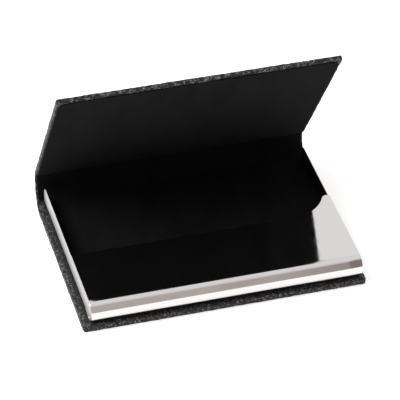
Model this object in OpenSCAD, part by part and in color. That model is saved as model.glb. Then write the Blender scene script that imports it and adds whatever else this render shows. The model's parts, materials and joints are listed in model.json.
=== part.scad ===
// Business card case: a steel card tray glued into a leather cover that opens like a book.
// +X runs along the spine, +Y from the rolled front to the spine, +Z up.
// The origin is the centre of the flat underside of the base.

/* [Cover] */
// Width of the base along the spine
cover_w = 95.6; // [94:0.2:98]
// Width of the lid and the spine
lid_w = 94.8; // [93:0.2:95.6]
// Depth of the flat base, from its front edge to the middle of the heel
base_d = 66; // [64:0.5:68]
// Thickness of the base with its leather
base_t = 2.3; // [2.1:0.1:2.6]
// Thickness of the leather
leather_t = 0.4; // [0.3:0.05:0.5]
// Radius of the cover's corners
corner_r = 2; // [1:0.5:3]
// Width of the leather turned in round the boards
turn_in = 8; // [6:0.5:10]
// Length of the lid from its fold to its free edge
lid_len = 68; // [66:0.25:70]
// Thickness of the lid's board
lid_board_t = 1; // [0.9:0.1:1.4]
// Thickness of the lining
lining_t = 0.2; // [0.15:0.05:0.3]
// Angle of the lid above the closed position
lid_open = 56.4; // [0:0.2:100]

/* [Spine] */
// Outer radius of the soft heel between the base and the spine
heel_r = 9; // [8:0.5:9.5]
// Thickness of the heel and of the spine
spine_t = 1.1; // [1:0.05:1.2]
// Thickness of the card that stiffens the spine
stiffener_t = 0.45; // [0.3:0.05:0.5]
// Height of the lower fold above the underside
fold_z = 2.5; // [2.3:0.1:3]

/* [Tray] */
// Width of the steel tray
tray_w = 91.2; // [90.8:0.1:92]
// Distance that the tray sits right of the middle of the cover
tray_shift = 0.6; // [0:0.1:1.5]
// Height of the tray's top face above the underside
tray_top = 10; // [9:0.5:11]
// Thickness of the steel sheet
steel_t = 0.4; // [0.3:0.05:0.5]
// Depth of the tray from the front of the roll to the rear of its side walls
tray_d = 67; // [65:0.5:67]
// Radius of the rear top corner of each side wall
wall_corner_r = 3; // [2:0.5:5]
// Distance from the front of the roll to the straight edge of the top plate
plate_d = 27.7; // [25:0.1:30]
// Height of the wave at the right of the top plate
wave_rise = 9; // [7:0.5:10]
// Radius of the hollow of the wave
wave_flare_r = 14; // [12:0.5:18]
// Radius of the crest of the wave
wave_crest_r = 1.8; // [1:0.1:2.5]
// Depth of the lip under the tray behind the roll
lip_d = 9; // [7:0.5:12]

/* [Magnets] */
// Diameter of a closing magnet
magnet_d = 8; // [6:0.5:10]
// Thickness of a closing magnet
magnet_t = 0.9; // [0.7:0.1:0.9]
// Distance between the two magnets
magnet_pitch = 56; // [40:1:70]
// Distance from the lid's free edge to the magnets' centres
magnet_inset = 7; // [6:0.5:10]

/* [Hidden] */
$fn = 64;

eps = 0.01;                                   // overlap that keeps a cut clean
front_y = -base_d / 2;                        // front edge of the base
board_gap = 0.05;                             // room between a board and its leather
fold_gap = 0.45;                              // leather kept back from the lid fold
board_back = 1.7;                             // lid board kept back from the lid fold
lower_gap = 0.2;                              // leather kept back from the lower fold
lid_clear = 0.6;                              // room between the level lid and the tray
heel_in = 3.9;                                // heel's centre in from the end of base_d
seam_a = 0.2;                                 // angle that the heel laps over the flat base
pocket_gap = 0.1;                             // magnet pocket wider than its magnet

// Tray
roll_r = (tray_top - base_t) / 2;             // outer radius of the rolled front
roll_y = front_y + roll_r;                    // centre of the roll
roll_z = base_t + roll_r;
floor_z = base_t + steel_t;                   // underside of the pan, on top of the lip
tray_x0 = tray_shift - tray_w / 2;
tray_x1 = tray_shift + tray_w / 2;
tray_back = front_y + tray_d;
plate_y = front_y + plate_d;                  // straight edge of the top plate
wave_reach = sqrt(pow(wave_flare_r + wave_crest_r, 2)
                  - pow(wave_flare_r + wave_crest_r - wave_rise, 2));
crest_in = 1.3;                               // crest of the wave in from the tray's side
crest_x = tray_x1 - crest_in;                 // centre of the crest of the wave
flare_x = crest_x - wave_reach;               // where the wave leaves the straight edge

// Soft heel: an arc from the flat underside up to the upright spine
heel_y = front_y + base_d - heel_in;          // centre of the heel's arc
heel_z = heel_r;
fold_a = acos((heel_r - fold_z) / heel_r);    // turn of the arc at the lower fold
spine_y = heel_y + heel_r;                    // outer face of the upright spine
heel_t = 0.9;                                 // thickness of the heel under the tray

// Lid, modelled closed and then opened about its fold
lid_t = 2 * leather_t + lid_board_t + lining_t;
lid_fold_z = tray_top + lid_clear + lid_t;
lining_margin = 0.8;                          // leather seen round the lining
lining_corner_r = 4;

// Tape and linings
tape_w = 30;                                  // width of a strip of tape
tape_pitch = 44;                              // distance between the two strips
tape_margin = 1.5;                            // tape kept back from the turned-in leather
floor_side = 0.15;                            // lining kept back from the tray's side walls
floor_end = 0.5;                              // lining kept back from the ends of the floor
stiffener_a = 6;                              // angle of the stiffener's foot above the lower fold
stiffener_side = 1;                           // stiffener kept back from the spine's ends
spine_lining_a = 4;                           // angle of the lining's foot above the lower fold
spine_lining_side = 0.6;                      // lining kept back from the spine's ends

// Profile in Y and Z drawn out along X between two places
module along_x(x0, x1) {
    translate([x0, 0, 0]) rotate([90, 0, 90]) linear_extrude(x1 - x0) children();
}

// Rectangle with four round corners, from its low to its high corner
module rounded(x0, y0, x1, y1, r) {
    translate([x0 + r, y0]) square([x1 - x0 - 2 * r, y1 - y0]);
    translate([x0, y0 + r]) square([x1 - x0, y1 - y0 - 2 * r]);
    for (x = [x0 + r, x1 - r], y = [y0 + r, y1 - r]) translate([x, y]) circle(r);
}

// Flat slab with four round corners
module slab(x0, y0, x1, y1, z0, z1, r) {
    translate([0, 0, z0]) linear_extrude(z1 - z0) rounded(x0, y0, x1, y1, r);
}

// Part of the cover's bent strip, as a profile: arc angles count from the lowest point
module heel_arc(a0, a1, depth0, depth1) {
    far = 3 * heel_r;
    translate([heel_y, heel_z]) intersection() {
        difference() {
            circle(heel_r - depth0);
            circle(heel_r - depth1);
        }
        polygon([[0, 0], [far * sin(a0), -far * cos(a0)],
                 [far * sin((a0 + a1) / 2), -far * cos((a0 + a1) / 2)],
                 [far * sin(a1), -far * cos(a1)]]);
    }
}

// Spine layer between two depths below its outer face, up to a height
module spine_profile(a0, depth0, depth1, top) {
    heel_arc(a0, 90, depth0, depth1);
    translate([spine_y - depth1, heel_z - eps]) square([depth1 - depth0, top - heel_z + eps]);
}

// Carries what is modelled closed to where the open lid is
module opened() {
    translate([0, spine_y, lid_fold_z]) rotate([-lid_open, 0, 0])
        translate([0, -spine_y, -lid_fold_z]) children();
}

module base_board() {
    color("tan")
        slab(-cover_w / 2 + leather_t + board_gap, front_y + leather_t + board_gap,
             cover_w / 2 - leather_t - board_gap, heel_y - leather_t - board_gap,
             leather_t, base_t - leather_t, corner_r - leather_t);
}

module base_leather() {
    color([0.08, 0.08, 0.08]) {
        difference() {
            union() {
                slab(-cover_w / 2, front_y, cover_w / 2, heel_y, 0, base_t, corner_r);
                translate([-cover_w / 2, heel_y - 2 * corner_r, 0])
                    cube([cover_w, 2 * corner_r, heel_t]);
            }
            slab(-cover_w / 2 + leather_t, front_y + leather_t,
                 cover_w / 2 - leather_t, heel_y - leather_t,
                 leather_t, base_t - leather_t, corner_r - leather_t);
            translate([-cover_w / 2 + turn_in, front_y + turn_in, base_t - leather_t - eps])
                cube([cover_w - 2 * turn_in, heel_y - front_y - 2 * turn_in, leather_t + 2 * eps]);
        }
        along_x(-cover_w / 2, cover_w / 2)
            heel_arc(-seam_a, fold_a - lower_gap / heel_r * 180 / PI, 0, heel_t);
    }
}

// Two strips of double-sided tape that hold the tray on the base
module mounting_tape() {
    window_d = heel_y - front_y - 2 * turn_in;
    color("white") for (side = [-1, 1])
        translate([(side * tape_pitch - tape_w) / 2, front_y + turn_in + tape_margin,
                   base_t - leather_t])
            cube([tape_w, window_d - 2 * tape_margin, leather_t + steel_t]);
}

// Side wall of the pan: round in front inside the roll, round at its rear top corner
module wall_profile() {
    wall_h = tray_top - steel_t - floor_z;
    translate([roll_y, roll_z]) circle(roll_r - steel_t);
    translate([roll_y, floor_z]) difference() {
        square([tray_back - roll_y, wall_h]);
        translate([tray_back - roll_y - wall_corner_r, wall_h - wall_corner_r])
            difference() {
                square(2 * wall_corner_r);
                circle(wall_corner_r);
            }
    }
}

module tray_pan() {
    color("silver") {
        along_x(tray_x0, tray_x0 + steel_t) wall_profile();
        along_x(tray_x1 - steel_t, tray_x1) wall_profile();
        translate([tray_x0, roll_y, floor_z]) cube([tray_w, tray_back - roll_y, steel_t]);
    }
}

module tray_lining() {
    side = steel_t + floor_side;
    color([0.06, 0.06, 0.06])
        translate([tray_x0 + side, roll_y + floor_end, floor_z + steel_t])
            cube([tray_w - 2 * side, tray_back - roll_y - 2 * floor_end, lining_t]);
}

// Outline of the top plate seen from above, with its wave at the right
module plate_outline() {
    crest_a = asin((wave_flare_r + wave_crest_r - wave_rise) / (wave_flare_r + wave_crest_r));
    translate([tray_x0, roll_y - eps]) square([tray_w, plate_y - roll_y + eps]);
    translate([0, plate_y - eps]) difference() {
        translate([flare_x, 0]) square([tray_x1 - flare_x, wave_rise + eps]);
        translate([flare_x, wave_flare_r + eps]) circle(wave_flare_r);
        translate([crest_x, wave_rise + eps - wave_crest_r]) difference() {
            polygon([[0, 0], [-wave_reach, wave_reach * tan(crest_a)],
                     [-wave_reach, wave_rise], [0, wave_rise]]);
            circle(wave_crest_r);
        }
    }
}

// One sheet: the wavy top plate, the half-round roll and the lip below the pan
module front_cover() {
    color("silver") {
        translate([0, 0, tray_top - steel_t]) linear_extrude(steel_t) plate_outline();
        along_x(tray_x0, tray_x1) difference() {
            translate([roll_y, roll_z]) circle(roll_r);
            translate([roll_y, roll_z]) circle(roll_r - steel_t);
            translate([roll_y + eps, roll_z - 2 * roll_r]) square(4 * roll_r);
        }
        translate([tray_x0, roll_y - eps, base_t])
            cube([tray_w, lip_d - roll_r + eps, steel_t]);
    }
}

module spine_leather() {
    a0 = fold_a + lower_gap / heel_r * 180 / PI;
    color([0.08, 0.08, 0.08]) along_x(-lid_w / 2, lid_w / 2)
        spine_profile(a0, 0, leather_t, lid_fold_z - fold_gap);
}

module spine_stiffener() {
    half_w = lid_w / 2 - stiffener_side;
    color("tan") along_x(-half_w, half_w)
        spine_profile(fold_a + stiffener_a, leather_t, leather_t + stiffener_t,
                      lid_fold_z - 2 * fold_gap);
}

module spine_lining() {
    half_w = lid_w / 2 - spine_lining_side;
    color([0.06, 0.06, 0.06]) along_x(-half_w, half_w)
        spine_profile(fold_a + spine_lining_a, leather_t + stiffener_t, spine_t,
                      lid_fold_z - 2 * fold_gap);
}

module lid_board() {
    free_y = spine_y - lid_len;
    color("tan") opened() difference() {
        slab(-lid_w / 2 + leather_t + board_gap, free_y + leather_t + board_gap,
             lid_w / 2 - leather_t - board_gap, spine_y - board_back,
             lid_fold_z - leather_t - lid_board_t, lid_fold_z - leather_t,
             corner_r - leather_t);
        for (side = [-1, 1])
            translate([side * magnet_pitch / 2, free_y + magnet_inset, lid_fold_z - lid_t])
                cylinder(d = magnet_d + pocket_gap, h = lid_t);
    }
}

module lid_leather() {
    free_y = spine_y - lid_len;
    color([0.08, 0.08, 0.08]) opened() {
        difference() {
            slab(-lid_w / 2, free_y, lid_w / 2, spine_y - board_back,
                 lid_fold_z - 2 * leather_t - lid_board_t, lid_fold_z, corner_r);
            slab(-lid_w / 2 + leather_t, free_y + leather_t,
                 lid_w / 2 - leather_t, spine_y + corner_r,
                 lid_fold_z - leather_t - lid_board_t, lid_fold_z - leather_t,
                 corner_r - leather_t);
            translate([-lid_w / 2 + turn_in, free_y + turn_in, lid_fold_z - lid_t])
                cube([lid_w - 2 * turn_in, lid_len, lining_t + leather_t + eps]);
        }
        translate([-lid_w / 2, spine_y - board_back - 2 * corner_r, lid_fold_z - leather_t])
            cube([lid_w, board_back + 2 * corner_r - fold_gap, leather_t]);
    }
}

// Lining on its card: the card fills the space inside the turned-in leather
module lid_lining() {
    free_y = spine_y - lid_len;
    face_z = lid_fold_z - lid_t;
    color([0.06, 0.06, 0.06]) opened() {
        slab(-lid_w / 2 + lining_margin, free_y + lining_margin,
             lid_w / 2 - lining_margin, spine_y - board_back,
             face_z, face_z + lining_t, lining_corner_r);
        translate([-lid_w / 2 + turn_in + board_gap, free_y + turn_in + board_gap,
                   face_z + lining_t - eps])
            cube([lid_w - 2 * turn_in - 2 * board_gap,
                  lid_len - turn_in - board_back - 2 * board_gap, leather_t + eps]);
    }
}

module lid_magnets() {
    color("gainsboro") opened() for (side = [-1, 1])
        translate([side * magnet_pitch / 2, spine_y - lid_len + magnet_inset,
                   lid_fold_z - leather_t - lid_board_t])
            cylinder(d = magnet_d, h = magnet_t);
}

base_board();
base_leather();
mounting_tape();
tray_pan();
tray_lining();
front_cover();
spine_stiffener();
spine_leather();
spine_lining();
lid_board();
lid_leather();
lid_lining();
lid_magnets();
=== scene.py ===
"""Looks of a business card case: a polished steel card tray in a leather cover that opens like a book.

Lengths are in metres, or in millimetres where a name ends in _mm, and angles in degrees where it ends in
_deg. +X runs along the spine, +Y from the rolled front to the spine, +Z up, and the origin is the centre
of the flat underside of the base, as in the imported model.
"""

from __future__ import annotations

import json
import logging
import math
from dataclasses import dataclass
from enum import Enum
from functools import cached_property
from typing import Callable, Sequence

import bmesh
import bpy
from mathutils import Matrix, Vector, noise

import sys

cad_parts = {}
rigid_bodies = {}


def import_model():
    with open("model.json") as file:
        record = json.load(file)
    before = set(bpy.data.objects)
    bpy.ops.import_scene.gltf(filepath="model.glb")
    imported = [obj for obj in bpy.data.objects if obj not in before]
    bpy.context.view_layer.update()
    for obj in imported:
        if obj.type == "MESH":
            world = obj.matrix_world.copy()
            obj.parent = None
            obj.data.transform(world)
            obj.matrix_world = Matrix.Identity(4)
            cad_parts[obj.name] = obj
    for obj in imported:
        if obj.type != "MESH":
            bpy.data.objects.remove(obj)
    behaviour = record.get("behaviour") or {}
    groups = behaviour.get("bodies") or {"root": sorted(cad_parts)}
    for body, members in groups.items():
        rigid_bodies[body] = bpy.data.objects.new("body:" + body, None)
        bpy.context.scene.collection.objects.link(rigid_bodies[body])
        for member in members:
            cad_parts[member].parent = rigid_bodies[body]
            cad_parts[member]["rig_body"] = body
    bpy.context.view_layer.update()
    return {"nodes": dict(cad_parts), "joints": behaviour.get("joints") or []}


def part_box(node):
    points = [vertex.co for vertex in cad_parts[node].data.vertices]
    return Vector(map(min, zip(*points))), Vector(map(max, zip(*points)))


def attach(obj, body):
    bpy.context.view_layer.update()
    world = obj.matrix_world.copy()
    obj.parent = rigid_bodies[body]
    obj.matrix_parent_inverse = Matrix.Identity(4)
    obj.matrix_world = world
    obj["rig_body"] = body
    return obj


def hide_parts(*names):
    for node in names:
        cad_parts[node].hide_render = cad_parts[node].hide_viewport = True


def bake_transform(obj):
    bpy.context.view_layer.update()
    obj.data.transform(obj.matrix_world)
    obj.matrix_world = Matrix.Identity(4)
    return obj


LOG = logging.getLogger("card_case")
MM = 0.001
FLAT = "flat"  # vertex attribute: the place on the flat, unfolded material
EDGE_WEAR_AND_GLINT = "edge_wear_and_glint"  # vertex attribute: 1 on an edge that hands rub and where the painted glints gather, 0 away from it

Mesh, Face, Vert = bmesh.types.BMesh, bmesh.types.BMFace, bmesh.types.BMVert
Socket, Material, Piece = bpy.types.NodeSocket, bpy.types.Material, bpy.types.Object
Pair = tuple[float, float]
Colour = tuple[float, float, float, float]

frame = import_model()


class Body(Enum):
    """The moving bodies of the case."""

    BASE = "base"
    SPINE = "spine"
    LID = "lid"


class Slot(Enum):
    """The record's material slots."""

    LEATHER = "leather"
    LINING = "lining"
    STEEL = "steel"


class Layer(Enum):
    """The leather's two pieces: below and above the seam on its heel."""

    LOWER = "lower"
    UPPER = "upper"


# Small tools


def smoothstep(low: float, high: float, value: float) -> float:
    """Soft step from 0 at low to 1 at high.

    Args:
        low: Value where the step starts.
        high: Value where the step ends.
        value: Value to look up.

    Returns:
        The height of the step, from 0 to 1.
    """
    t = min(1.0, max(0.0, (value - low) / (high - low)))
    return t * t * (3 - 2 * t)


def graded(low: float, high: float, pitch: float, border: Sequence[float]) -> list[float]:
    """Lines from low to high that lie closer together near both ends.

    Args:
        low: First line.
        high: Last line.
        pitch: Distance between the lines in the middle.
        border: Distances of the close lines from each end, the first of them 0.

    Returns:
        The places of the lines, in rising order.
    """
    first, last = low + border[-1], high - border[-1]
    count = max(1, round((last - first) / pitch))
    middle = [first + (last - first) * i / count for i in range(1, count)]
    return [low + b for b in border] + middle + [high - b for b in reversed(border)]


def joint_place(name: str) -> Vector:
    """Place of a joint's axis.

    Args:
        name: The joint's name.

    Returns:
        A point on the axis.
    """
    return Vector(next(j["pos_m"] for j in frame["joints"] if j["name"] == name))


def make_object(name: str, bm: Mesh, *materials: Material) -> Piece:
    """Turns a bmesh into an object in the scene.

    Args:
        name: The piece's name.
        bm: The finished bmesh, which is freed.
        materials: Its finishes, in the order of the faces' indices.

    Returns:
        The new object, at the origin.
    """
    mesh = bpy.data.meshes.new(name)
    bm.to_mesh(mesh)
    bm.free()
    for material in materials:
        mesh.materials.append(material)
    piece = bpy.data.objects.new(name, mesh)
    bpy.context.scene.collection.objects.link(piece)
    return piece


def report(piece: Piece, body: str) -> None:
    """Logs a finished piece and what it rides on."""
    LOG.info("%s rides on %s, %d faces", piece.name, body, len(piece.data.polygons))


# Finishes


class Nodes:
    """Node tree, and short ways to add to it."""

    def __init__(self, tree: bpy.types.NodeTree) -> None:
        """Keeps the tree."""
        self.tree = tree

    def feed(self, socket: Socket, value: object) -> None:
        """Gives an input its value.

        Args:
            socket: The input.
            value: A socket to link to it, or the number, vector or colour to set.
        """
        if isinstance(value, Socket):
            self.tree.links.new(value, socket)
        else:
            socket.default_value = value

    def add(self, kind: str, inputs: dict[str | int, object] | None = None,
            **settings: object) -> bpy.types.Node:
        """Adds a node.

        Args:
            kind: The node's type, without the ShaderNode prefix.
            inputs: A value or a socket for each input, by its name or number.
            settings: The node's own settings.

        Returns:
            The new node.
        """
        node = self.tree.nodes.new("ShaderNode" + kind)
        for key, value in settings.items():
            setattr(node, key, value)
        for key, value in (inputs or {}).items():
            self.feed(node.inputs[key], value)
        return node

    def ramp(self, value: Socket, low: float, high: float, to_low: float = 0.0,
             to_high: float = 1.0) -> Socket:
        """Soft change from one value to another.

        Args:
            value: Socket that drives the change.
            low: Driving value where the change starts.
            high: Driving value where the change ends.
            to_low: Result at low.
            to_high: Result at high.

        Returns:
            The socket with the result.
        """
        made = self.add("MapRange", {"Value": value, "From Min": low, "From Max": high,
                                     "To Min": to_low, "To Max": to_high},
                        interpolation_type="SMOOTHSTEP")
        return made.outputs["Result"]

    def calc(self, operation: str, a: object, b: object) -> Socket:
        """Result of a sum on two values, each a number or a socket."""
        return self.add("Math", {0: a, 1: b}, operation=operation).outputs[0]

    def mix(self, share: object, a: object, b: object) -> Socket:
        """Colour between a, at share 0, and b, at share 1."""
        return self.add("Mix", {0: share, 6: a, 7: b}, data_type="RGBA").outputs[2]


class Graph(Nodes):
    """Node tree of one material, with its principled shader."""

    def __init__(self, name: str) -> None:
        """Starts a material.

        Args:
            name: The material's name.
        """
        self.material = bpy.data.materials.new(name)
        self.material.use_nodes = True
        super().__init__(self.material.node_tree)
        self.tree.nodes.clear()
        self.shader = self.add("BsdfPrincipled")
        self.add("OutputMaterial", {"Surface": self.shader.outputs["BSDF"]})

    def place(self, attribute: str | None = None, scale: Sequence[float] = (1, 1, 1)) -> Socket:
        """Coordinates for a pattern.

        Args:
            attribute: Name of the vertex attribute that holds them, or None for the object's own.
            scale: Stretch of the pattern along each axis.

        Returns:
            The socket with the coordinates.
        """
        if attribute:
            source = self.add("Attribute", attribute_name=attribute).outputs["Vector"]
        else:
            source = self.add("TexCoord").outputs["Object"]
        return self.add("Mapping", {"Vector": source, "Scale": scale}).outputs["Vector"]

    def grain(self, where: Socket, size: float, detail: float = 3.0,
              rough: float = 0.5, warp: float = 0.0) -> Socket:
        """Cloudy noise whose blobs are about that size.

        Args:
            where: Coordinates in metres.
            size: Size of a blob in metres.
            detail: Octaves of finer noise.
            rough: Strength of the finer noise.
            warp: Distortion.

        Returns:
            The socket with values about 0.5.
        """
        made = self.add("TexNoise", {"Vector": where, "Scale": 1 / size, "Detail": detail,
                                     "Roughness": rough, "Distortion": warp})
        return made.outputs["Fac"]

    def bump(self, height: Socket, depth: float, strength: float = 1.0) -> None:
        """Gives the shader a relief of that depth in metres."""
        made = self.add("Bump", {"Height": height, "Distance": depth, "Strength": strength})
        self.set(Normal=made.outputs["Normal"])

    def set(self, **inputs: object) -> None:
        """Sets or links shader inputs; an underscore stands for a space in the input's name."""
        for key, value in inputs.items():
            self.feed(self.shader.inputs[key.replace("_", " ")], value)


def grey(value: float, tint: Sequence[float] = (1, 1, 1)) -> Colour:
    """Opaque colour of that lightness and tint."""
    return (value * tint[0], value * tint[1], value * tint[2], 1.0)


class Finish:
    """One finish. Each kind lays its own nodes."""

    name: str

    def lay(self, g: Graph) -> None:
        """Lays the nodes in a material's tree."""
        raise NotImplementedError

    def make(self) -> Material:
        """Builds the finish.

        Returns:
            The material.
        """
        g = Graph(self.name)
        self.lay(g)
        return g.material


@dataclass(frozen=True)
class CrackleLeather(Finish):
    """Black coated leather with a crackled grain and pale flecks along its edges, partly rubbed wear and
    partly painted glints.
    """

    name: str = "crackle_leather"
    cell: float = 1.25 * MM
    fine_cell: float = 0.5 * MM
    relief: float = 0.3 * MM

    def lay(self, g: Graph) -> None:
        """Lays the nodes.

        Args:
            g: The material's tree.
        """
        flat = g.place(FLAT)
        wobble = g.add("TexNoise", {"Vector": flat, "Scale": 1 / self.cell, "Detail": 2.0}).outputs["Color"]
        bent = g.add("VectorMath", {0: wobble, 1: (0.5, 0.5, 0.5)}, operation="SUBTRACT").outputs[0]
        bent = g.add("VectorMath", {0: bent, "Scale": 0.9 * self.cell}, operation="SCALE").outputs[0]
        bent = g.add("VectorMath", {0: bent, 1: flat}, operation="ADD").outputs[0]
        large = g.add("TexVoronoi", {"Vector": bent, "Scale": 1 / self.cell},
                      feature="DISTANCE_TO_EDGE").outputs["Distance"]
        small = g.add("TexVoronoi", {"Vector": bent, "Scale": 1 / self.fine_cell},
                      feature="DISTANCE_TO_EDGE").outputs["Distance"]
        pebble = g.ramp(large, 0.0, 0.22)
        grain = g.ramp(small, 0.0, 0.3)
        dust = g.grain(flat, 0.22 * MM, 2.0, 0.6)
        swell = g.grain(flat, 3.5 * MM, 3.0, 0.55)
        height = g.calc("ADD", g.calc("MULTIPLY", pebble, 0.55), g.calc("MULTIPLY", grain, 0.3))
        height = g.calc("ADD", height, g.calc("MULTIPLY", dust, 0.25))
        height = g.calc("ADD", height, g.calc("MULTIPLY", swell, 0.6))
        g.bump(height, self.relief)
        edge_wear_and_glint = g.add("Attribute", attribute_name=EDGE_WEAR_AND_GLINT).outputs["Fac"]
        # Pale flecks painted into the base colour: partly rubbed wear, partly painted glints that stand in
        # for highlights on the grain, most of them along the rim.
        vein = g.calc("ABSOLUTE", g.calc("SUBTRACT", g.grain(flat, 1.2 * MM, 2.0, 0.6, 0.8), 0.5), 0.0)
        vein = g.ramp(vein, 0.012, 0.034, 1.0, 0.0)
        fleck = g.calc("MAXIMUM", vein, g.ramp(g.grain(flat, 0.5 * MM, 2.0, 0.6), 0.62, 0.68))
        patch = g.ramp(g.grain(flat, 1.1 * MM, 2.0), 0.42, 0.6)
        scuff_and_glint = g.calc("MULTIPLY", fleck, patch)
        scuff_and_glint = g.calc("MULTIPLY", scuff_and_glint, g.ramp(edge_wear_and_glint, 0.0, 1.0, 0.13, 0.75))
        body = g.mix(pebble, grey(0.006, (1, 0.98, 1.04)), grey(0.02, (1, 1, 1.06)))
        # grey(0.38) is the colour of the pale flecks: painted glints in part, rubbed wear in part.
        g.set(Base_Color=g.mix(scuff_and_glint, body, grey(0.38, (0.97, 0.98, 1.03))))
        g.set(Roughness=g.ramp(grain, 0.0, 1.0, 0.62, 0.4), Specular_IOR_Level=0.24)


@dataclass(frozen=True)
class BlackSuede(Finish):
    """Matte black suede-like lining cloth."""

    name: str = "black_suede"
    nap: float = 0.16 * MM
    relief: float = 0.05 * MM

    def lay(self, g: Graph) -> None:
        """Lays the nodes.

        Args:
            g: The material's tree.
        """
        flat = g.place(FLAT)
        fibre = g.grain(flat, self.nap, 4.0, 0.7)
        brushed = g.grain(g.place(FLAT, (1, 0.35, 1)), 6 * MM, 3.0, 0.6, 0.4)
        lint = g.ramp(g.grain(flat, 0.5 * MM, 3.0, 0.6), 0.72, 0.78)
        tone = g.calc("ADD", g.calc("MULTIPLY", fibre, 0.6), g.calc("MULTIPLY", brushed, 0.7))
        body = g.mix(g.ramp(tone, 0.4, 0.9), grey(0.0034, (1, 0.93, 1.14)), grey(0.0072, (1, 0.95, 1.1)))
        g.set(Base_Color=g.mix(g.calc("MULTIPLY", lint, 0.35), body, grey(0.06)))
        g.set(Roughness=0.95, Specular_IOR_Level=0.06, Sheen_Weight=0.012, Sheen_Roughness=0.5)
        g.bump(fibre, self.relief, 0.7)


@dataclass(frozen=True)
class MirrorSteel(Finish):
    """Polished stainless steel, whose polishing marks run along X where streak is over 1."""

    name: str = "mirror_steel"
    streak: float = 1.0
    gloss: float = 0.035
    haze: float = 0.05
    ripple: float = 0.0
    tone: float = 0.7

    def lay(self, g: Graph) -> None:
        """Lays the nodes.

        Args:
            g: The material's tree.
        """
        drawn = g.place(None, (1 / self.streak, 1, 1))
        polish = g.grain(drawn, 0.9 * MM, 4.0, 0.65)
        smear = g.grain(g.place(), 9 * MM, 3.0, 0.5, 0.5)
        hair = g.ramp(g.grain(g.place(None, (0.05, 1, 1)), 0.12 * MM, 2.0, 0.5), 0.66, 0.8)
        haze = g.calc("MULTIPLY", g.ramp(g.calc("MULTIPLY", polish, smear), 0.15, 0.42), self.haze)
        g.set(Roughness=g.calc("ADD", g.calc("ADD", haze, g.calc("MULTIPLY", hair, 0.05)), self.gloss))
        bright, dim = grey(self.tone, (1, 0.972, 0.958)), grey(0.96 * self.tone, (1, 0.975, 0.965))
        g.set(Base_Color=g.mix(smear, bright, dim))
        g.set(Metallic=1.0)
        if self.ripple:
            g.bump(g.grain(drawn, 2.2 * MM, 2.0, 0.5), self.ripple)


@dataclass(frozen=True)
class SatinSteel(Finish):
    """Brushed stainless steel on the outside of the tray's walls."""

    name: str = "satin_steel"

    def lay(self, g: Graph) -> None:
        """Lays the nodes.

        Args:
            g: The material's tree.
        """
        brushed = g.grain(g.place(None, (1, 0.04, 1)), 0.1 * MM, 3.0, 0.6)
        g.set(Base_Color=g.mix(brushed, grey(0.5, (1, 0.99, 1)), grey(0.6, (1, 0.99, 1))), Metallic=1.0)
        g.set(Roughness=g.ramp(brushed, 0.3, 0.7, 0.42, 0.55))
        g.bump(brushed, 0.004 * MM)


@dataclass(frozen=True)
class Greyboard(Finish):
    """Pressed grey board with paper fibres."""

    name: str = "greyboard"

    def lay(self, g: Graph) -> None:
        """Lays the nodes.

        Args:
            g: The material's tree.
        """
        fibre = g.grain(g.place(None, (0.3, 1, 1)), 0.5 * MM, 4.0, 0.7, 0.8)
        speck = g.ramp(g.grain(g.place(), 0.7 * MM, 2.0, 0.6), 0.64, 0.7)
        body = g.mix(fibre, grey(0.3, (1, 0.93, 0.82)), grey(0.46, (1, 0.95, 0.87)))
        g.set(Base_Color=g.mix(g.calc("MULTIPLY", speck, 0.5), body, grey(0.14)), Roughness=0.9)
        g.bump(fibre, 0.06 * MM)


@dataclass(frozen=True)
class FoamTape(Finish):
    """White double-sided foam tape."""

    name: str = "foam_tape"

    def lay(self, g: Graph) -> None:
        """Lays the nodes.

        Args:
            g: The material's tree.
        """
        cell = g.add("TexVoronoi", {"Vector": g.place(), "Scale": 1 / (0.25 * MM)}).outputs["Distance"]
        g.set(Base_Color=g.mix(cell, grey(0.82), grey(0.7, (1, 0.98, 0.92))), Roughness=0.55)
        g.bump(cell, 0.03 * MM)


@dataclass(frozen=True)
class NickelPlate(Finish):
    """Nickel plating on a sintered magnet."""

    name: str = "nickel_plate"

    def lay(self, g: Graph) -> None:
        """Lays the nodes.

        Args:
            g: The material's tree.
        """
        cloud = g.grain(g.place(), 0.8 * MM, 4.0, 0.6)
        g.set(Base_Color=g.mix(cloud, grey(0.58, (1, 0.97, 0.9)), grey(0.66, (1, 0.98, 0.93))), Metallic=1.0)
        g.set(Roughness=g.ramp(cloud, 0.3, 0.7, 0.2, 0.36))
        g.bump(cloud, 0.01 * MM)


@dataclass(frozen=True)
class PalePaper(Finish):
    """Plain pale paper of the studio floor."""

    name: str = "pale_paper"

    def lay(self, g: Graph) -> None:
        """Lays the nodes.

        Args:
            g: The material's tree.
        """
        cloud = g.grain(g.place(), 40 * MM, 3.0)
        g.set(Base_Color=g.mix(cloud, grey(0.93), grey(0.95)), Roughness=0.8, Specular_IOR_Level=0.2)
        g.set(Emission_Color=grey(1.0), Emission_Strength=0.4)


class Finishes:
    """Every finish of the case, each made once."""

    def __init__(self) -> None:
        """Builds the materials."""
        self.leather = CrackleLeather().make()
        self.suede = BlackSuede().make()
        self.mirror = MirrorSteel().make()
        self.rolled = MirrorSteel("rolled_steel", streak=14.0, gloss=0.07, haze=0.1,
                                  ripple=0.012 * MM, tone=0.66).make()
        self.satin = SatinSteel().make()
        self.board = Greyboard().make()
        self.tape = FoamTape().make()
        self.nickel = NickelPlate().make()
        self.paper = PalePaper().make()


# Leather cover and linings: modelled flat, then folded along the cover's path


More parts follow.
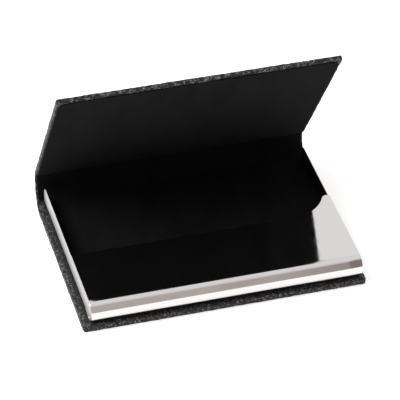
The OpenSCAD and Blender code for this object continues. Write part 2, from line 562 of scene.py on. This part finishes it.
@dataclass(frozen=True)
class CoverPath:
    """Line of the cover's outer face in Y and Z, from the base's front edge to the lid's free edge."""

    heel_r: float = 9 * MM
    crease_r: float = 5 * MM
    lid_len: float = 68 * MM
    heel_bend_deg: Pair = (28.0, 60.0)
    crease_reach: float = 3.1 * MM

    @cached_property
    def front_y(self) -> float:
        """Front edge of the base."""
        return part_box("base_leather")[0].y

    @cached_property
    def fold(self) -> Vector:
        """Place of the fold between the spine and the lid."""
        return joint_place("lid_fold")

    @cached_property
    def lean(self) -> float:
        """Turn from the upright spine to the lid."""
        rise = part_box("lid_leather")[1].z - self.fold.z
        return math.pi / 2 - math.asin(rise / self.lid_len)

    @cached_property
    def runs(self) -> list[Pair]:
        """Stretches of the path: base, heel, upright spine, crease, lid.

        Returns:
            Each one's length and turn.
        """
        tangent = self.crease_r * math.tan(self.lean / 2)
        return [(self.fold.y - self.heel_r - self.front_y, 0.0),
                (self.heel_r * math.pi / 2, math.pi / 2),
                (self.fold.z - self.heel_r - tangent, 0.0),
                (self.crease_r * self.lean, self.lean),
                (self.lid_len - tangent, 0.0)]

    def heel_at(self, angle_deg: float) -> float:
        """Distance along the path of a place on the heel, by its turn from the lowest point."""
        return self.runs[0][0] + self.heel_r * math.radians(angle_deg)

    def crease_middle(self) -> float:
        """Distance along the path of the middle of the lid's crease."""
        return sum(length for length, _ in self.runs[:3]) + self.runs[3][0] / 2

    @cached_property
    def total(self) -> float:
        """Length of the whole path."""
        return sum(length for length, _ in self.runs)


class Folder:
    """Carries flat places (across, along, depth) to their folded places."""

    def __init__(self, path: CoverPath) -> None:
        """Keeps the path's stretches."""
        self.front_y = path.front_y
        self.runs = path.runs

    def fold(self, flat: Vector) -> Vector:
        """Folded place of a flat one.

        Args:
            flat: Distance across, distance along the path, and depth under the outer face.

        Returns:
            The place in the frame.
        """
        y, z, heading, left = self.front_y, 0.0, 0.0, flat.y
        for length, turn in self.runs:
            step = min(left, length)
            if turn:
                radius, ahead = length / turn, heading + step * turn / length
                y += radius * (math.sin(ahead) - math.sin(heading))
                z += radius * (math.cos(heading) - math.cos(ahead))
                heading = ahead
            else:
                y += step * math.cos(heading)
                z += step * math.sin(heading)
            left -= step
            if left <= 0:
                break
        return Vector((flat.x, y - flat.z * math.sin(heading), z + flat.z * math.cos(heading)))


def bend_ends(path: CoverPath, start: float, end: float) -> tuple[Vector, Vector]:
    """Places of a soft bend's start and end, from their distances along the path."""
    folder = Folder(path)
    return folder.fold(Vector((0, start, 0))), folder.fold(Vector((0, end, 0)))


def lower_bend(path: CoverPath) -> tuple[Vector, Vector]:
    """Where the heel's soft bend starts and ends."""
    return bend_ends(path, *(path.heel_at(angle) for angle in path.heel_bend_deg))


def upper_bend(path: CoverPath) -> tuple[Vector, Vector]:
    """Where the lid's crease starts and ends."""
    middle = path.crease_middle()
    return bend_ends(path, middle - path.crease_reach, middle + path.crease_reach)


@dataclass
class FlatSlab:
    """Thin slab as it lies flat: a grid with round corners and round edges.

    The fields half, outer, inner and edge_r give the slab's half width, the depths of its two faces and
    the radius of its edges at a distance along it. With open_start, its first end is cut square.
    """

    half: Callable[[float], float]
    outer: Callable[[float], float]
    inner: Callable[[float], float]
    start: float
    end: float
    corner_r: float
    edge_r: Callable[[float], float]
    columns: list[float]
    rows: list[float]
    open_start: bool = False
    wear_and_glint_from: float = 0.3 * MM
    wear_and_glint_to: float = 3.0 * MM

    def build(self, wall_cuts: int) -> Mesh:
        """Makes the closed slab, each vertex at its flat place.

        Args:
            wall_cuts: Rows of vertices between the two edges of the slab's rim.

        Returns:
            The bmesh, with the attributes FLAT and EDGE_WEAR_AND_GLINT.
        """
        bm = bmesh.new()
        across, along = len(self.columns) - 1, len(self.rows) - 1
        bmesh.ops.create_grid(bm, x_segments=across, y_segments=along, size=0.5)
        grown = bmesh.ops.extrude_face_region(bm, geom=bm.faces[:])["geom"]
        top = [v for v in grown if isinstance(v, Vert)]
        bmesh.ops.translate(bm, verts=top, vec=(0, 0, 1))
        rim = [e for e in bm.edges if abs(e.verts[0].co.z - e.verts[1].co.z) > 0.5]
        bmesh.ops.subdivide_edges(bm, edges=rim, cuts=wall_cuts, use_grid_fill=True)
        flat_layer = bm.verts.layers.float_vector.new(FLAT)
        edge_wear_and_glint_layer = bm.verts.layers.float.new(EDGE_WEAR_AND_GLINT)
        for v in bm.verts:
            x = self.columns[round((v.co.x + 0.5) * across)]
            s = self.rows[round((v.co.y + 0.5) * along)]
            place, inset = self.place(x, s, v.co.z)
            v.co = place
            v[flat_layer] = place
            # Rim mask for the leather's pale flecks, rubbed wear and painted glints: 1 at the rim, fading to
            # 0 inwards.
            v[edge_wear_and_glint_layer] = 1.0 - smoothstep(self.wear_and_glint_from, self.wear_and_glint_to, inset)
        bmesh.ops.recalc_face_normals(bm, faces=bm.faces[:])
        return bm

    def place(self, x: float, s: float, level: float) -> tuple[Vector, float]:
        """Flat place of a grid crossing.

        Args:
            x: The crossing's column.
            s: The crossing's row.
            level: 0 on the outer face, 1 on the inner face.

        Returns:
            Its place, and its distance in from the rim.
        """
        half = self.half(s)
        side = math.copysign(1.0, x)
        in_side = (self.columns[-1] - abs(x)) * half / self.columns[-1]
        from_start, from_end = s - self.start, self.end - s
        near_start = from_start < from_end
        in_end = from_start if near_start else from_end
        if near_start and self.open_start:
            in_end = self.end - self.start
        if in_side < self.corner_r and in_end < self.corner_r:
            reach_x, reach_s = self.corner_r - in_side, self.corner_r - in_end
            reach = max(reach_x, reach_s)
            if reach_x >= reach_s:
                turn = reach_s / reach_x * math.pi / 4 if reach else 0.0
            else:
                turn = math.pi / 2 - reach_x / reach_s * math.pi / 4
            inset = self.corner_r - reach
            in_side = self.corner_r - reach * math.cos(turn)
            in_end = self.corner_r - reach * math.sin(turn)
            s = self.start + in_end if near_start else self.end - in_end
        else:
            inset = min(in_side, in_end)
        radius = self.edge_r(s)
        shy = max(0.0, radius - inset)
        lift = radius - math.sqrt(radius * radius - shy * shy)
        low, high = self.outer(s) + lift, self.inner(s) - lift
        return Vector((side * (half - in_side), s, low + level * (high - low))), inset


@dataclass(frozen=True)
class LeatherCover:
    """Leather wrapped round the boards and turned in: two pieces that meet near the top of the heel."""

    finishes: Finishes
    path: CoverPath
    base_t: float = 2.3 * MM
    heel_t: float = 0.9 * MM
    spine_t: float = 0.95 * MM
    lid_t: float = 1.8 * MM
    leather_t: float = 0.32 * MM
    corner_r: float = 1.2 * MM
    edge_r: float = 0.42 * MM
    turn_in: float = 8 * MM
    seam_deg: float = 80.0
    grid: float = 0.62 * MM
    border_mm: tuple[float, ...] = (0, 0.08, 0.2, 0.36, 0.6, 0.95, 1.4, 2.0)
    seam_mm: tuple[float, ...] = (-0.4, -0.16, 0, 0.16, 0.4)
    board_slope: Pair = (-0.2 * MM, 1.8 * MM)
    card_deg: Pair = (42.0, 50.0)
    lid_slope: Pair = (0.4 * MM, 1.7 * MM)
    seam_clear: float = 0.5 * MM
    swell: float = 9 * MM
    wrinkle: float = 2 * MM
    ridge: float = 1.3 * MM
    rim_reach: float = 2.5 * MM
    sunk_mm: float = 0.07
    relief_mm: float = 0.05
    rim_mm: float = 0.06
    pleats: int = 4
    pleat_mm: float = 0.09
    mitre: Pair = (0.1 * MM, 0.5 * MM)
    mitre_mm: float = 0.13
    inner_share: float = 0.75

    @cached_property
    def seam(self) -> float:
        """Distance along the path where the two pieces meet."""
        return self.path.heel_at(self.seam_deg)

    @cached_property
    def fold(self) -> float:
        """Distance along the path of the lid's crease."""
        return self.path.crease_middle()

    @cached_property
    def half_widths(self) -> Pair:
        """Half the width of the base and half the width of the lid."""
        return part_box("base_leather")[1].x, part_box("lid_leather")[1].x

    def half_width(self, s: float) -> float:
        """Half the cover's width at a place along the path."""
        wide, narrow = self.half_widths
        return wide + (narrow - wide) * smoothstep(self.path.heel_at(0), self.seam, s)

    def thickness(self, s: float) -> float:
        """Thickness of the cover without its lining.

        Args:
            s: Distance along the path.

        Returns:
            The thickness there.
        """
        board_end = self.path.heel_at(0)
        off_board = smoothstep(*(board_end + step for step in self.board_slope), s)
        on_card = smoothstep(*(self.path.heel_at(angle) for angle in self.card_deg), s)
        on_lid = smoothstep(*(self.fold + step for step in self.lid_slope), s)
        t = self.base_t + (self.heel_t - self.base_t) * off_board
        t += (self.spine_t - self.heel_t) * on_card
        return t + (self.lid_t - self.spine_t) * on_lid

    def edge_radius(self, s: float) -> float:
        """Radius of the cover's long edges."""
        return min(self.edge_r, 0.42 * self.thickness(s))

    def relief(self, flat: Vector, inset: float) -> float:
        """How far the leather's surface lies under its highest points.

        Args:
            flat: The flat place.
            inset: Distance in from the rim.

        Returns:
            A depth of 0 or more.
        """
        slow = noise.fractal(flat / self.swell, 1.0, 2.0, 2)
        wrinkle = noise.fractal(flat / self.wrinkle + Vector((7, 3, 1)), 0.7, 2.1, 3)
        ridge = abs(noise.noise(flat / self.ridge + Vector((2, 9, 4))))
        near_rim = 1.0 - smoothstep(0.0, self.rim_reach, inset)
        depth = self.sunk_mm + self.relief_mm * slow
        depth += (self.relief_mm + self.rim_mm * near_rim) * wrinkle + self.relief_mm * ridge
        return max(0.0, depth) * MM

    def pleat(self, flat: Vector, half: float) -> float:
        """Depth of the gathers and the mitre where the leather turns a free corner.

        Args:
            flat: The flat place.
            half: Half the cover's width there.

        Returns:
            A depth of 0 or more.
        """
        in_side = half - abs(flat.x)
        in_end = min(flat.y, self.path.total - flat.y)
        share = flat.z / self.thickness(flat.y)
        reach = math.hypot(max(0.0, self.corner_r - in_side), max(0.0, self.corner_r - in_end))
        angle = math.atan2(self.corner_r - in_end, self.corner_r - in_side)
        gather = 0.5 - 0.5 * math.cos(4 * angle * self.pleats)
        near_corner = smoothstep(0.5, 1.0, reach / self.corner_r)
        depth = self.pleat_mm * gather * near_corner * smoothstep(0.1, 0.5, share)
        if share > 0.8 and max(in_side, in_end) < self.turn_in:
            across = abs(in_side - in_end)
            depth += self.mitre_mm * (1.0 - smoothstep(*self.mitre, across))
        return depth * MM

    def shell(self) -> Mesh:
        """Makes the whole wrap: outer face, rim and turned-in edges.

        Returns:
            An open shell, folded.
        """
        border = [b * MM for b in self.border_mm]
        half, end = self.half_width(0), self.path.total
        rows = graded(0, end, self.grid, border)
        close = [self.seam + step * MM for step in self.seam_mm]
        rows = sorted([r for r in rows if abs(r - self.seam) > self.seam_clear] + close)
        slab = FlatSlab(self.half_width, lambda s: 0.0, self.thickness, 0.0, end, self.corner_r,
                        self.edge_radius, graded(-half, half, self.grid, border), rows)
        bm = slab.build(wall_cuts=3)
        flat = bm.verts.layers.float_vector[FLAT]
        window = [f for f in bm.faces if self.in_window(f.calc_center_median())]
        bmesh.ops.delete(bm, geom=window, context="FACES")
        folder = Folder(self.path)
        for v in bm.verts:
            v.co = folder.fold(v[flat])
        bm.normal_update()
        moved = [v.co - v.normal * self.drop(v[flat]) for v in bm.verts]
        for v, co in zip(bm.verts, moved):
            v.co = co
        return bm

    def inset_at(self, flat: Vector) -> float:
        """Distance in from the cover's rim, at a flat place."""
        return min(self.half_width(flat.y) - abs(flat.x), flat.y, self.path.total - flat.y)

    def drop(self, flat: Vector) -> float:
        """Depth of the surface under the plain shape, at a flat place."""
        return self.relief(flat, self.inset_at(flat)) + self.pleat(flat, self.half_width(flat.y))

    def in_window(self, flat: Vector) -> bool:
        """Whether a face with that flat middle is an inner one that the turned-in leather leaves out."""
        return flat.z >= self.inner_share * self.thickness(flat.y) and self.inset_at(flat) > self.turn_in

    def piece(self, name: str, shell: Mesh, layer: Layer) -> Piece:
        """Makes one piece of the wrap, sharp along its cut edges, with the leather's thickness.

        Args:
            name: The piece's name.
            shell: The whole wrap, which is kept.
            layer: The piece to keep.

        Returns:
            The piece, dressed.
        """
        bm = shell.copy()
        flat = bm.verts.layers.float_vector[FLAT]
        middle = {f: sum(v[flat].y for v in f.verts) / len(f.verts) for f in bm.faces}
        lost = [f for f in bm.faces if (middle[f] > self.seam) == (layer is Layer.LOWER)]
        bmesh.ops.delete(bm, geom=lost, context="FACES")
        for edge in bm.edges:
            edge.smooth = not edge.is_boundary
        for face in bm.faces:
            face.smooth = True
        made = make_object(name, bm, self.finishes.leather)
        wall = made.modifiers.new("leather", "SOLIDIFY")
        wall.thickness = self.leather_t
        wall.offset = -1.0
        wall.use_even_offset = False
        return made

    def build(self) -> None:
        """Makes both pieces of the cover."""
        shell = self.shell()
        lower = self.piece("base_and_heel_leather", shell, Layer.LOWER)
        start, end = lower_bend(self.path)
        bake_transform(lower)
        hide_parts("base_leather")
        report(lower, "base and spine")
        upper = self.piece("spine_and_lid_leather", shell, Layer.UPPER)
        shell.free()
        start, end = upper_bend(self.path)
        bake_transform(upper)
        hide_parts("spine_leather", "lid_leather")
        report(upper, "spine and lid")


@dataclass(frozen=True)
class CoverLinings:
    """Suede lining of the spine and the lid, one sheet laid over the turned-in leather."""

    finishes: Finishes
    cover: LeatherCover
    cloth_t: float = 0.2 * MM
    margin: float = 0.8 * MM
    corner_r: float = 4 * MM
    first_deg: float = 40.5
    grid: float = 0.9 * MM
    border_mm: tuple[float, ...] = (0, 0.06, 0.14, 0.4, 0.9, 1.6, 2.4, 3.2, 4.0)
    crease_grid: float = 0.3 * MM
    crease_half: float = 3 * MM
    tuck: float = 0.06 * MM
    edge_r: float = 0.09 * MM
    cloud: float = 14 * MM
    cloud_mm: float = 0.03
    pucker: Pair = (5 * MM, 1.2 * MM)
    pucker_mm: float = 0.05
    pull: Pair = (0.5 * MM, 4 * MM)
    pull_past: float = 0.6 * MM

    def sag(self, flat: Vector) -> float:
        """How far the cloth lies under its plain shape: soft unevenness and a pull at the crease.

        Args:
            flat: The flat place.

        Returns:
            The distance, less than 0 where the cloth lies proud.
        """
        cloud = noise.fractal(flat / self.cloud, 1.0, 2.0, 3)
        pucker = noise.noise(Vector((flat.x / self.pucker[0], flat.y / self.pucker[1], 4.0)))
        near_fold = 1.0 - smoothstep(*self.pull, abs(flat.y - self.cover.fold - self.pull_past))
        return (self.cloud_mm * cloud + self.pucker_mm * near_fold * pucker) * MM

    def shell(self) -> Mesh:
        """Makes the whole lining on the cover's inner side.

        Returns:
            A thin closed slab, folded.
        """
        cover = self.cover
        start, end = cover.path.heel_at(self.first_deg), cover.path.total - self.margin
        border = [b * MM for b in self.border_mm]
        half = cover.half_width(start) - self.margin
        rows = graded(start, end, self.grid, border)
        crease = [cover.fold + step * self.crease_grid for step in range(-9, 10)]
        rows = [r for r in rows if abs(r - cover.fold) > self.crease_half]
        slab = FlatSlab(lambda s: cover.half_width(s) - self.margin,
                        lambda s: cover.thickness(s) - self.tuck,
                        lambda s: cover.thickness(s) + self.cloth_t, start, end, self.corner_r,
                        lambda s: self.edge_r, graded(-half, half, self.grid, border),
                        sorted(rows + crease), open_start=True)
        bm = slab.build(wall_cuts=1)
        flat = bm.verts.layers.float_vector[FLAT]
        folder = Folder(cover.path)
        for v in bm.verts:
            place = v[flat].copy()
            place.z -= self.sag(place)
            v.co = folder.fold(place)
        bmesh.ops.recalc_face_normals(bm, faces=bm.faces[:])
        return bm

    def build(self) -> None:
        """Makes the lining, one sheet from the heel over the crease to the lid's free edge."""
        cover = self.cover
        bm = self.shell()
        for face in bm.faces:
            face.smooth = True
        made = make_object("cover_lining_cloth", bm, self.finishes.suede)
        start, end = upper_bend(cover.path)
        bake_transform(made)
        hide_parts("lid_lining", "spine_lining")
        first, last = cover.path.heel_at(self.first_deg), cover.path.total - self.margin
        2 * (cover.half_width(cover.seam) - self.margin)
        report(made, "spine and lid")


# Steel tray


class Pen:
    """Draws a flat outline in a bmesh with straight lines and arcs."""

    def __init__(self, start: Vector) -> None:
        """Puts the pen down at the outline's first point."""
        self.bm = bmesh.new()
        self.tip = bmesh.ops.create_vert(self.bm, co=start)["vert"][0]

    def line_to(self, point: Vector) -> None:
        """Draws a straight line."""
        self.tip = bmesh.ops.extrude_vert_indiv(self.bm, verts=[self.tip])["verts"][0]
        self.tip.co = point

    def arc(self, centre: Vector, axis: Vector, angle: float, steps: int) -> None:
        """Draws an arc about a centre.

        Args:
            centre: Centre of the arc.
            axis: Axis that it turns about.
            angle: Turn in radians.
            steps: Number of chords.
        """
        turned = bmesh.ops.spin(self.bm, geom=[self.tip], cent=centre, axis=axis, angle=angle, steps=steps)
        self.tip = next(v for v in turned["geom_last"] if isinstance(v, Vert))

    def close(self) -> Mesh:
        """Joins the last point to the first and fills the outline with one face.

        Returns:
            The bmesh.
        """
        bmesh.ops.remove_doubles(self.bm, verts=self.bm.verts[:], dist=1e-6)
        ends = [v for v in self.bm.verts if len(v.link_edges) == 1]
        if ends:
            bmesh.ops.contextual_create(self.bm, geom=ends)
        bmesh.ops.edgeloop_fill(self.bm, edges=self.bm.edges[:])
        return self.bm


def push(bm: Mesh, face: Face, by: Vector) -> Face:
    """Extrudes one face.

    Args:
        bm: The bmesh.
        face: The face.
        by: How far it goes.

    Returns:
        The face at the far end.
    """
    grown = bmesh.ops.extrude_face_region(bm, geom=[face])["geom"]
    verts = [v for v in grown if isinstance(v, Vert)]
    bmesh.ops.translate(bm, verts=verts, vec=by)
    return next(f for f in grown if isinstance(f, Face))


def bend(bm: Mesh, face: Face, centre: Vector, axis: Vector, angle: float,
         steps: int) -> Face:
    """Carries one face round an axis, as a sheet is bent.

    Args:
        bm: The bmesh.
        face: The face.
        centre: A point on the axis.
        axis: The axis.
        angle: Turn in radians.
        steps: Number of facets.

    Returns:
        The face at the far end.
    """
    part = [face, *face.edges, *face.verts]
    turned = bmesh.ops.spin(bm, geom=part, cent=centre, axis=axis, angle=angle, steps=steps)
    return next(f for f in turned["geom_last"] if isinstance(f, Face))


def face_at(bm: Mesh, normal: Vector,
            rank: Callable[[Vector], float]) -> Face:
    """Finds one face of a solid.

    Args:
        bm: The bmesh.
        normal: Way that the face points.
        rank: Worth of a face's centre, lowest on the one that is wanted.

    Returns:
        The face.
    """
    found = [f for f in bm.faces if f.normal.dot(normal) > 0.99]
    return min(found, key=lambda f: rank(f.calc_center_median()))


@dataclass(frozen=True)
class SteelTray:
    """Card tray of mirror-polished sheet: a pan with two side walls, and a front cover with a roll."""

    finishes: Finishes
    steel_t: float = 0.4 * MM
    rear_corner_r: float = 3 * MM
    plate_d: float = 27.7 * MM
    wave_rise: float = 9 * MM
    wave_flare_r: float = 14 * MM
    wave_crest_r: float = 1.8 * MM
    crest_in: float = 1.3 * MM
    lip_d: float = 9 * MM
    pan_bend_r: float = 0.3 * MM
    wall_gap: float = 0.22 * MM
    break_edge: float = 0.07 * MM
    roll_steps: int = 64
    roll_cuts: int = 19
    floor_strip: float = 0.3 * MM
    flat_plate: float = 200 * MM * MM
    flat_wall: float = 60 * MM * MM
    crest_steps: int = 12
    flare_steps: int = 24
    corner_steps: int = 16
    end_steps: int = 48
    bend_steps: int = 8
    sharp_deg: float = 40.0

    @property
    def low(self) -> Vector:
        """Lowest corner of the front cover."""
        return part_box("front_cover")[0]

    @property
    def high(self) -> Vector:
        """Highest corner of the front cover."""
        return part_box("front_cover")[1]

    @property
    def roll_r(self) -> float:
        """Outer radius of the rolled front."""
        return (self.high.z - self.low.z) / 2

    @property
    def roll_centre(self) -> Vector:
        """Middle of the rolled front, at the tray's left end."""
        return Vector((self.low.x, self.low.y + self.roll_r, self.low.z + self.roll_r))

    @property
    def lip_end(self) -> float:
        """Rear edge of the lip under the pan."""
        return self.low.y + self.lip_d

    def finish_sheet(self, bm: Mesh, flat_area: float) -> None:
        """Breaks the sheet's sharp edges and shades its bends smooth and its flats flat.

        Args:
            bm: The sheet.
            flat_area: Area from which a face is a flat one.
        """
        bmesh.ops.remove_doubles(bm, verts=bm.verts[:], dist=1e-7)
        bmesh.ops.recalc_face_normals(bm, faces=bm.faces[:])
        sharp = [e for e in bm.edges if e.is_manifold and e.calc_face_angle() > math.radians(self.sharp_deg)]
        bmesh.ops.bevel(bm, geom=sharp, offset=self.break_edge, offset_type="OFFSET", segments=2,
                        profile=0.5, affect="EDGES", material=-1, clamp_overlap=True)
        for face in bm.faces:
            face.smooth = face.calc_area() < flat_area

    def plate(self) -> Mesh:
        """Draws the top plate, with the wave at its right end.

        Returns:
            The bmesh, one flat face.
        """
        up = Vector((0, 0, 1))
        z, x0, x1 = self.high.z, self.low.x, self.high.x
        edge_y = self.low.y + self.plate_d
        crest = Vector((x1 - self.crest_in, edge_y + self.wave_rise - self.wave_crest_r, z))
        span = self.wave_flare_r + self.wave_crest_r
        reach = math.sqrt(span ** 2 - (span - self.wave_rise) ** 2)
        flare = Vector((crest.x - reach, edge_y + self.wave_flare_r, z))
        sweep = math.acos((span - self.wave_rise) / span)
        front_y = self.roll_centre.y
        pen = Pen(Vector((x0, front_y, z)))
        pen.line_to(Vector((x1, front_y, z)))
        pen.line_to(Vector((x1, edge_y + self.wave_rise, z)))
        pen.line_to(Vector((crest.x, edge_y + self.wave_rise, z)))
        pen.arc(crest, up, sweep, self.crest_steps)
        pen.arc(flare, up, -sweep, self.flare_steps)
        pen.line_to(Vector((x0, edge_y, z)))
        return pen.close()

    def front_cover(self) -> Piece:
        """Makes the front cover: plate, half-round roll and lip, bent from one sheet.

        Returns:
            The piece, dressed.
        """
        bm = self.plate()
        push(bm, bm.faces[:][0], Vector((0, 0, -self.steel_t)))
        bmesh.ops.recalc_face_normals(bm, faces=bm.faces[:])
        bm.normal_update()
        front = face_at(bm, Vector((0, -1, 0)), lambda c: c.y)
        rear = bend(bm, front, self.roll_centre, Vector((1, 0, 0)), math.pi, self.roll_steps)
        lip = self.lip_end - self.roll_centre.y
        push(bm, rear, Vector((0, lip, 0)))
        roll_end = self.roll_centre.y + self.break_edge
        long_edges = [e for e in bm.edges if all(v.co.y < roll_end for v in e.verts)
                      and abs(e.verts[0].co.x - e.verts[1].co.x) > self.roll_r]
        bmesh.ops.subdivide_edges(bm, edges=long_edges, cuts=self.roll_cuts)
        self.finish_sheet(bm, self.flat_plate)
        for face in bm.faces:
            face.material_index = int(face.calc_center_median().y < self.roll_centre.y)
        return make_object("front_cover_steel", bm, self.finishes.mirror, self.finishes.rolled)

    def pan(self) -> Piece:
        """Makes the pan: a left half, from its wall round the bend to the floor, then mirrored.

        Returns:
            The piece, dressed.
        """
        side = Vector((1, 0, 0))
        low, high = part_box("tray_pan")
        middle = (low.x + high.x) / 2
        half = (high.x - low.x) / 2
        turn_r = self.pan_bend_r + self.steel_t
        radius = self.roll_r - self.steel_t - self.wall_gap
        centre = Vector((-half, self.roll_centre.y, self.roll_centre.z))
        top, foot, rear = centre.z + radius, low.z + turn_r, high.y
        corner = Vector((-half, rear - self.rear_corner_r, top - self.rear_corner_r))
        pen = Pen(Vector((-half, rear, foot)))
        pen.line_to(Vector((-half, rear, corner.z)))
        pen.arc(corner, side, math.pi / 2, self.corner_steps)
        pen.line_to(Vector((-half, centre.y, top)))
        pen.arc(centre, side, math.pi, self.end_steps)
        pen.line_to(Vector((-half, centre.y, foot)))
        bm = pen.close()
        push(bm, bm.faces[:][0], side * self.steel_t)
        bmesh.ops.recalc_face_normals(bm, faces=bm.faces[:])
        bm.normal_update()
        bottom = face_at(bm, Vector((0, 0, -1)), lambda c: -c.y)
        bent = bend(bm, bottom, Vector((turn_r - half, 0, foot)), Vector((0, 1, 0)), -math.pi / 2,
                    self.bend_steps)
        bent = push(bm, bent, Vector((self.floor_strip, 0, 0)))
        last = push(bm, bent, Vector((half - turn_r - self.floor_strip, 0, 0)))
        bmesh.ops.delete(bm, geom=[last], context="FACES")
        bmesh.ops.mirror(bm, geom=bm.verts[:] + bm.edges[:] + bm.faces[:], matrix=Matrix.Identity(4),
                         merge_dist=1e-6, axis="X")
        bmesh.ops.translate(bm, verts=bm.verts[:], vec=(middle, 0, 0))
        self.finish_sheet(bm, self.flat_wall)
        bm.normal_update()
        for face in bm.faces:
            upright = abs(face.normal.x) > 0.5
            outward = face.normal.x * (face.calc_center_median().x - middle) > 0
            face.material_index = int(upright and outward)
        return make_object("tray_pan_steel", bm, self.finishes.mirror, self.finishes.satin)

    def build(self) -> None:
        """Makes both steel pieces."""
        for piece, node in ((self.front_cover(), "front_cover"), (self.pan(), "tray_pan")):
            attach(piece, Body.BASE.value)
            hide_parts(node)
            report(piece, Body.BASE.value)


@dataclass(frozen=True)
class TrayLining:
    """Suede sheet laid on the floor of the tray."""

    finishes: Finishes
    corner_r: float = 0.8 * MM
    edge_r: float = 0.09 * MM
    grid: float = 1.1 * MM
    border_mm: tuple[float, ...] = (0, 0.05, 0.12, 0.4, 0.8, 1.5)
    rear_gap: float = 0.03 * MM
    cloud: float = 12 * MM
    cloud_depth: float = 0.03 * MM

    def build(self) -> None:
        """Makes the sheet on the pan's floor."""
        low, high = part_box("tray_lining")
        high.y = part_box("tray_pan")[1].y - self.rear_gap
        middle, half = (low.x + high.x) / 2, (high.x - low.x) / 2
        border = [b * MM for b in self.border_mm]
        slab = FlatSlab(lambda s: half, lambda s: low.z, lambda s: high.z, low.y, high.y, self.corner_r,
                        lambda s: self.edge_r, graded(-half, half, self.grid, border),
                        graded(low.y, high.y, self.grid, border))
        bm = slab.build(wall_cuts=1)
        for v in bm.verts:
            cloud = noise.fractal(v.co / self.cloud, 1.0, 2.0, 3)
            v.co.z += self.cloud_depth * (cloud - 1) * smoothstep(low.z, high.z, v.co.z)
        bmesh.ops.translate(bm, verts=bm.verts[:], vec=(middle, 0, 0))
        for face in bm.faces:
            face.smooth = True
        made = make_object("tray_lining_cloth", bm, self.finishes.suede)
        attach(made, Body.BASE.value)
        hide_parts("tray_lining")
        report(made, Body.BASE.value)


@dataclass(frozen=True)
class HiddenStock:
    """Boards, tape and magnets inside the case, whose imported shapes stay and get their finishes."""

    finishes: Finishes

    def build(self) -> None:
        """Dresses the hidden pieces."""
        finishes = self.finishes
        dressed = {"base_board": finishes.board, "lid_board": finishes.board,
                   "spine_stiffener": finishes.board, "mounting_tape": finishes.tape,
                   "lid_magnets": finishes.nickel}
        for name, material in dressed.items():
            node = frame["nodes"][name]
            node.data.materials.clear()
            node.data.materials.append(material)
            report(node, node["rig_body"])


# Studio


@dataclass(frozen=True)
class SoftBox:
    """One soft area light that faces the case."""

    name: str
    place: tuple[float, float, float]
    size: float
    power: float
    tint: tuple[float, float, float]


@dataclass(frozen=True)
class Studio:
    """White table, soft light and the camera."""

    finishes: Finishes
    azimuth_deg: float = 15.99
    elevation_deg: float = 37.93
    roll_deg: float = -0.57
    distance: float = 0.92656
    lens_mm: float = 249.25
    sensor_mm: float = 36.0
    target: tuple[float, float, float] = (0.0035, 0.01202, 0.010)
    floor_half: float = 4.0
    key: SoftBox = SoftBox("key_box", (-0.75, 0.05, 0.95), 0.7, 11.0, (1.0, 0.985, 0.97))
    front_span: Pair = (0.1, -0.35)
    low_span: Pair = (0.99, 0.84)
    right_span: Pair = (0.23, 0.29)
    front_tone: Colour = (0.64, 0.58, 0.55, 1.0)
    right_tone: Colour = (0.3, 0.26, 0.24, 1.0)
    clip: Pair = (0.05, 20.0)

    def camera(self) -> None:
        """Makes the camera."""
        azimuth, elevation, roll = (math.radians(a) for a in (self.azimuth_deg, self.elevation_deg,
                                                              self.roll_deg))
        ahead = Vector((math.sin(azimuth) * math.cos(elevation), math.cos(azimuth) * math.cos(elevation),
                        -math.sin(elevation)))
        level = Vector((math.cos(azimuth), -math.sin(azimuth), 0))
        up = level.cross(ahead)
        right = level * math.cos(roll) - up * math.sin(roll)
        up = level * math.sin(roll) + up * math.cos(roll)
        data = bpy.data.cameras.new("camera")
        data.lens, data.sensor_width = self.lens_mm, self.sensor_mm
        data.clip_start, data.clip_end = self.clip
        camera = bpy.data.objects.new("camera", data)
        turn = Matrix((right, up, -ahead)).transposed().to_4x4()
        camera.matrix_world = Matrix.Translation(Vector(self.target) - ahead * self.distance) @ turn
        bpy.context.scene.collection.objects.link(camera)
        bpy.context.scene.camera = camera

    def light(self) -> None:
        """Makes the soft box."""
        box = self.key
        data = bpy.data.lights.new(box.name, "AREA")
        data.shape, data.size, data.energy, data.color = "DISK", box.size, box.power, box.tint
        light = bpy.data.objects.new(box.name, data)
        light.location = box.place
        light.rotation_euler = (-Vector(box.place)).to_track_quat("-Z", "Y").to_euler()
        bpy.context.scene.collection.objects.link(light)

    def floor(self) -> None:
        """Makes the pale floor."""
        bm = bmesh.new()
        bmesh.ops.create_grid(bm, x_segments=8, y_segments=8, size=self.floor_half)
        make_object("floor", bm, self.finishes.paper)

    def world(self) -> None:
        """Makes the white room, greyer low in front of the case and darker to the right there."""
        world = bpy.data.worlds.new("room")
        world.use_nodes = True
        bpy.context.scene.world = world
        nodes = Nodes(world.node_tree)
        ways = nodes.add("TexCoord").outputs["Generated"]
        split = nodes.add("SeparateXYZ", {0: ways}).outputs
        front, low = nodes.ramp(split["Y"], *self.front_span), nodes.ramp(split["Z"], *self.low_span)
        shade = nodes.mix(nodes.ramp(split["X"], *self.right_span), self.front_tone, self.right_tone)
        tone = nodes.mix(nodes.calc("MULTIPLY", front, low), grey(1.0), shade)
        nodes.feed(nodes.tree.nodes["Background"].inputs["Color"], tone)

    def build(self) -> None:
        """Makes everything round the case."""
        self.camera()
        self.light()
        self.floor()
        self.world()
        bpy.context.scene.view_settings.view_transform = "Standard"


def main() -> None:
    """Builds the case and the studio."""
    logging.basicConfig(level=logging.INFO, format="%(name)s: %(message)s", stream=sys.stdout)
    finishes = Finishes()
    path = CoverPath()
    Studio(finishes).build()
    SteelTray(finishes).build()
    TrayLining(finishes).build()
    cover = LeatherCover(finishes, path)
    cover.build()
    CoverLinings(finishes, cover).build()
    HiddenStock(finishes).build()


if __name__ == "__main__":
    main()
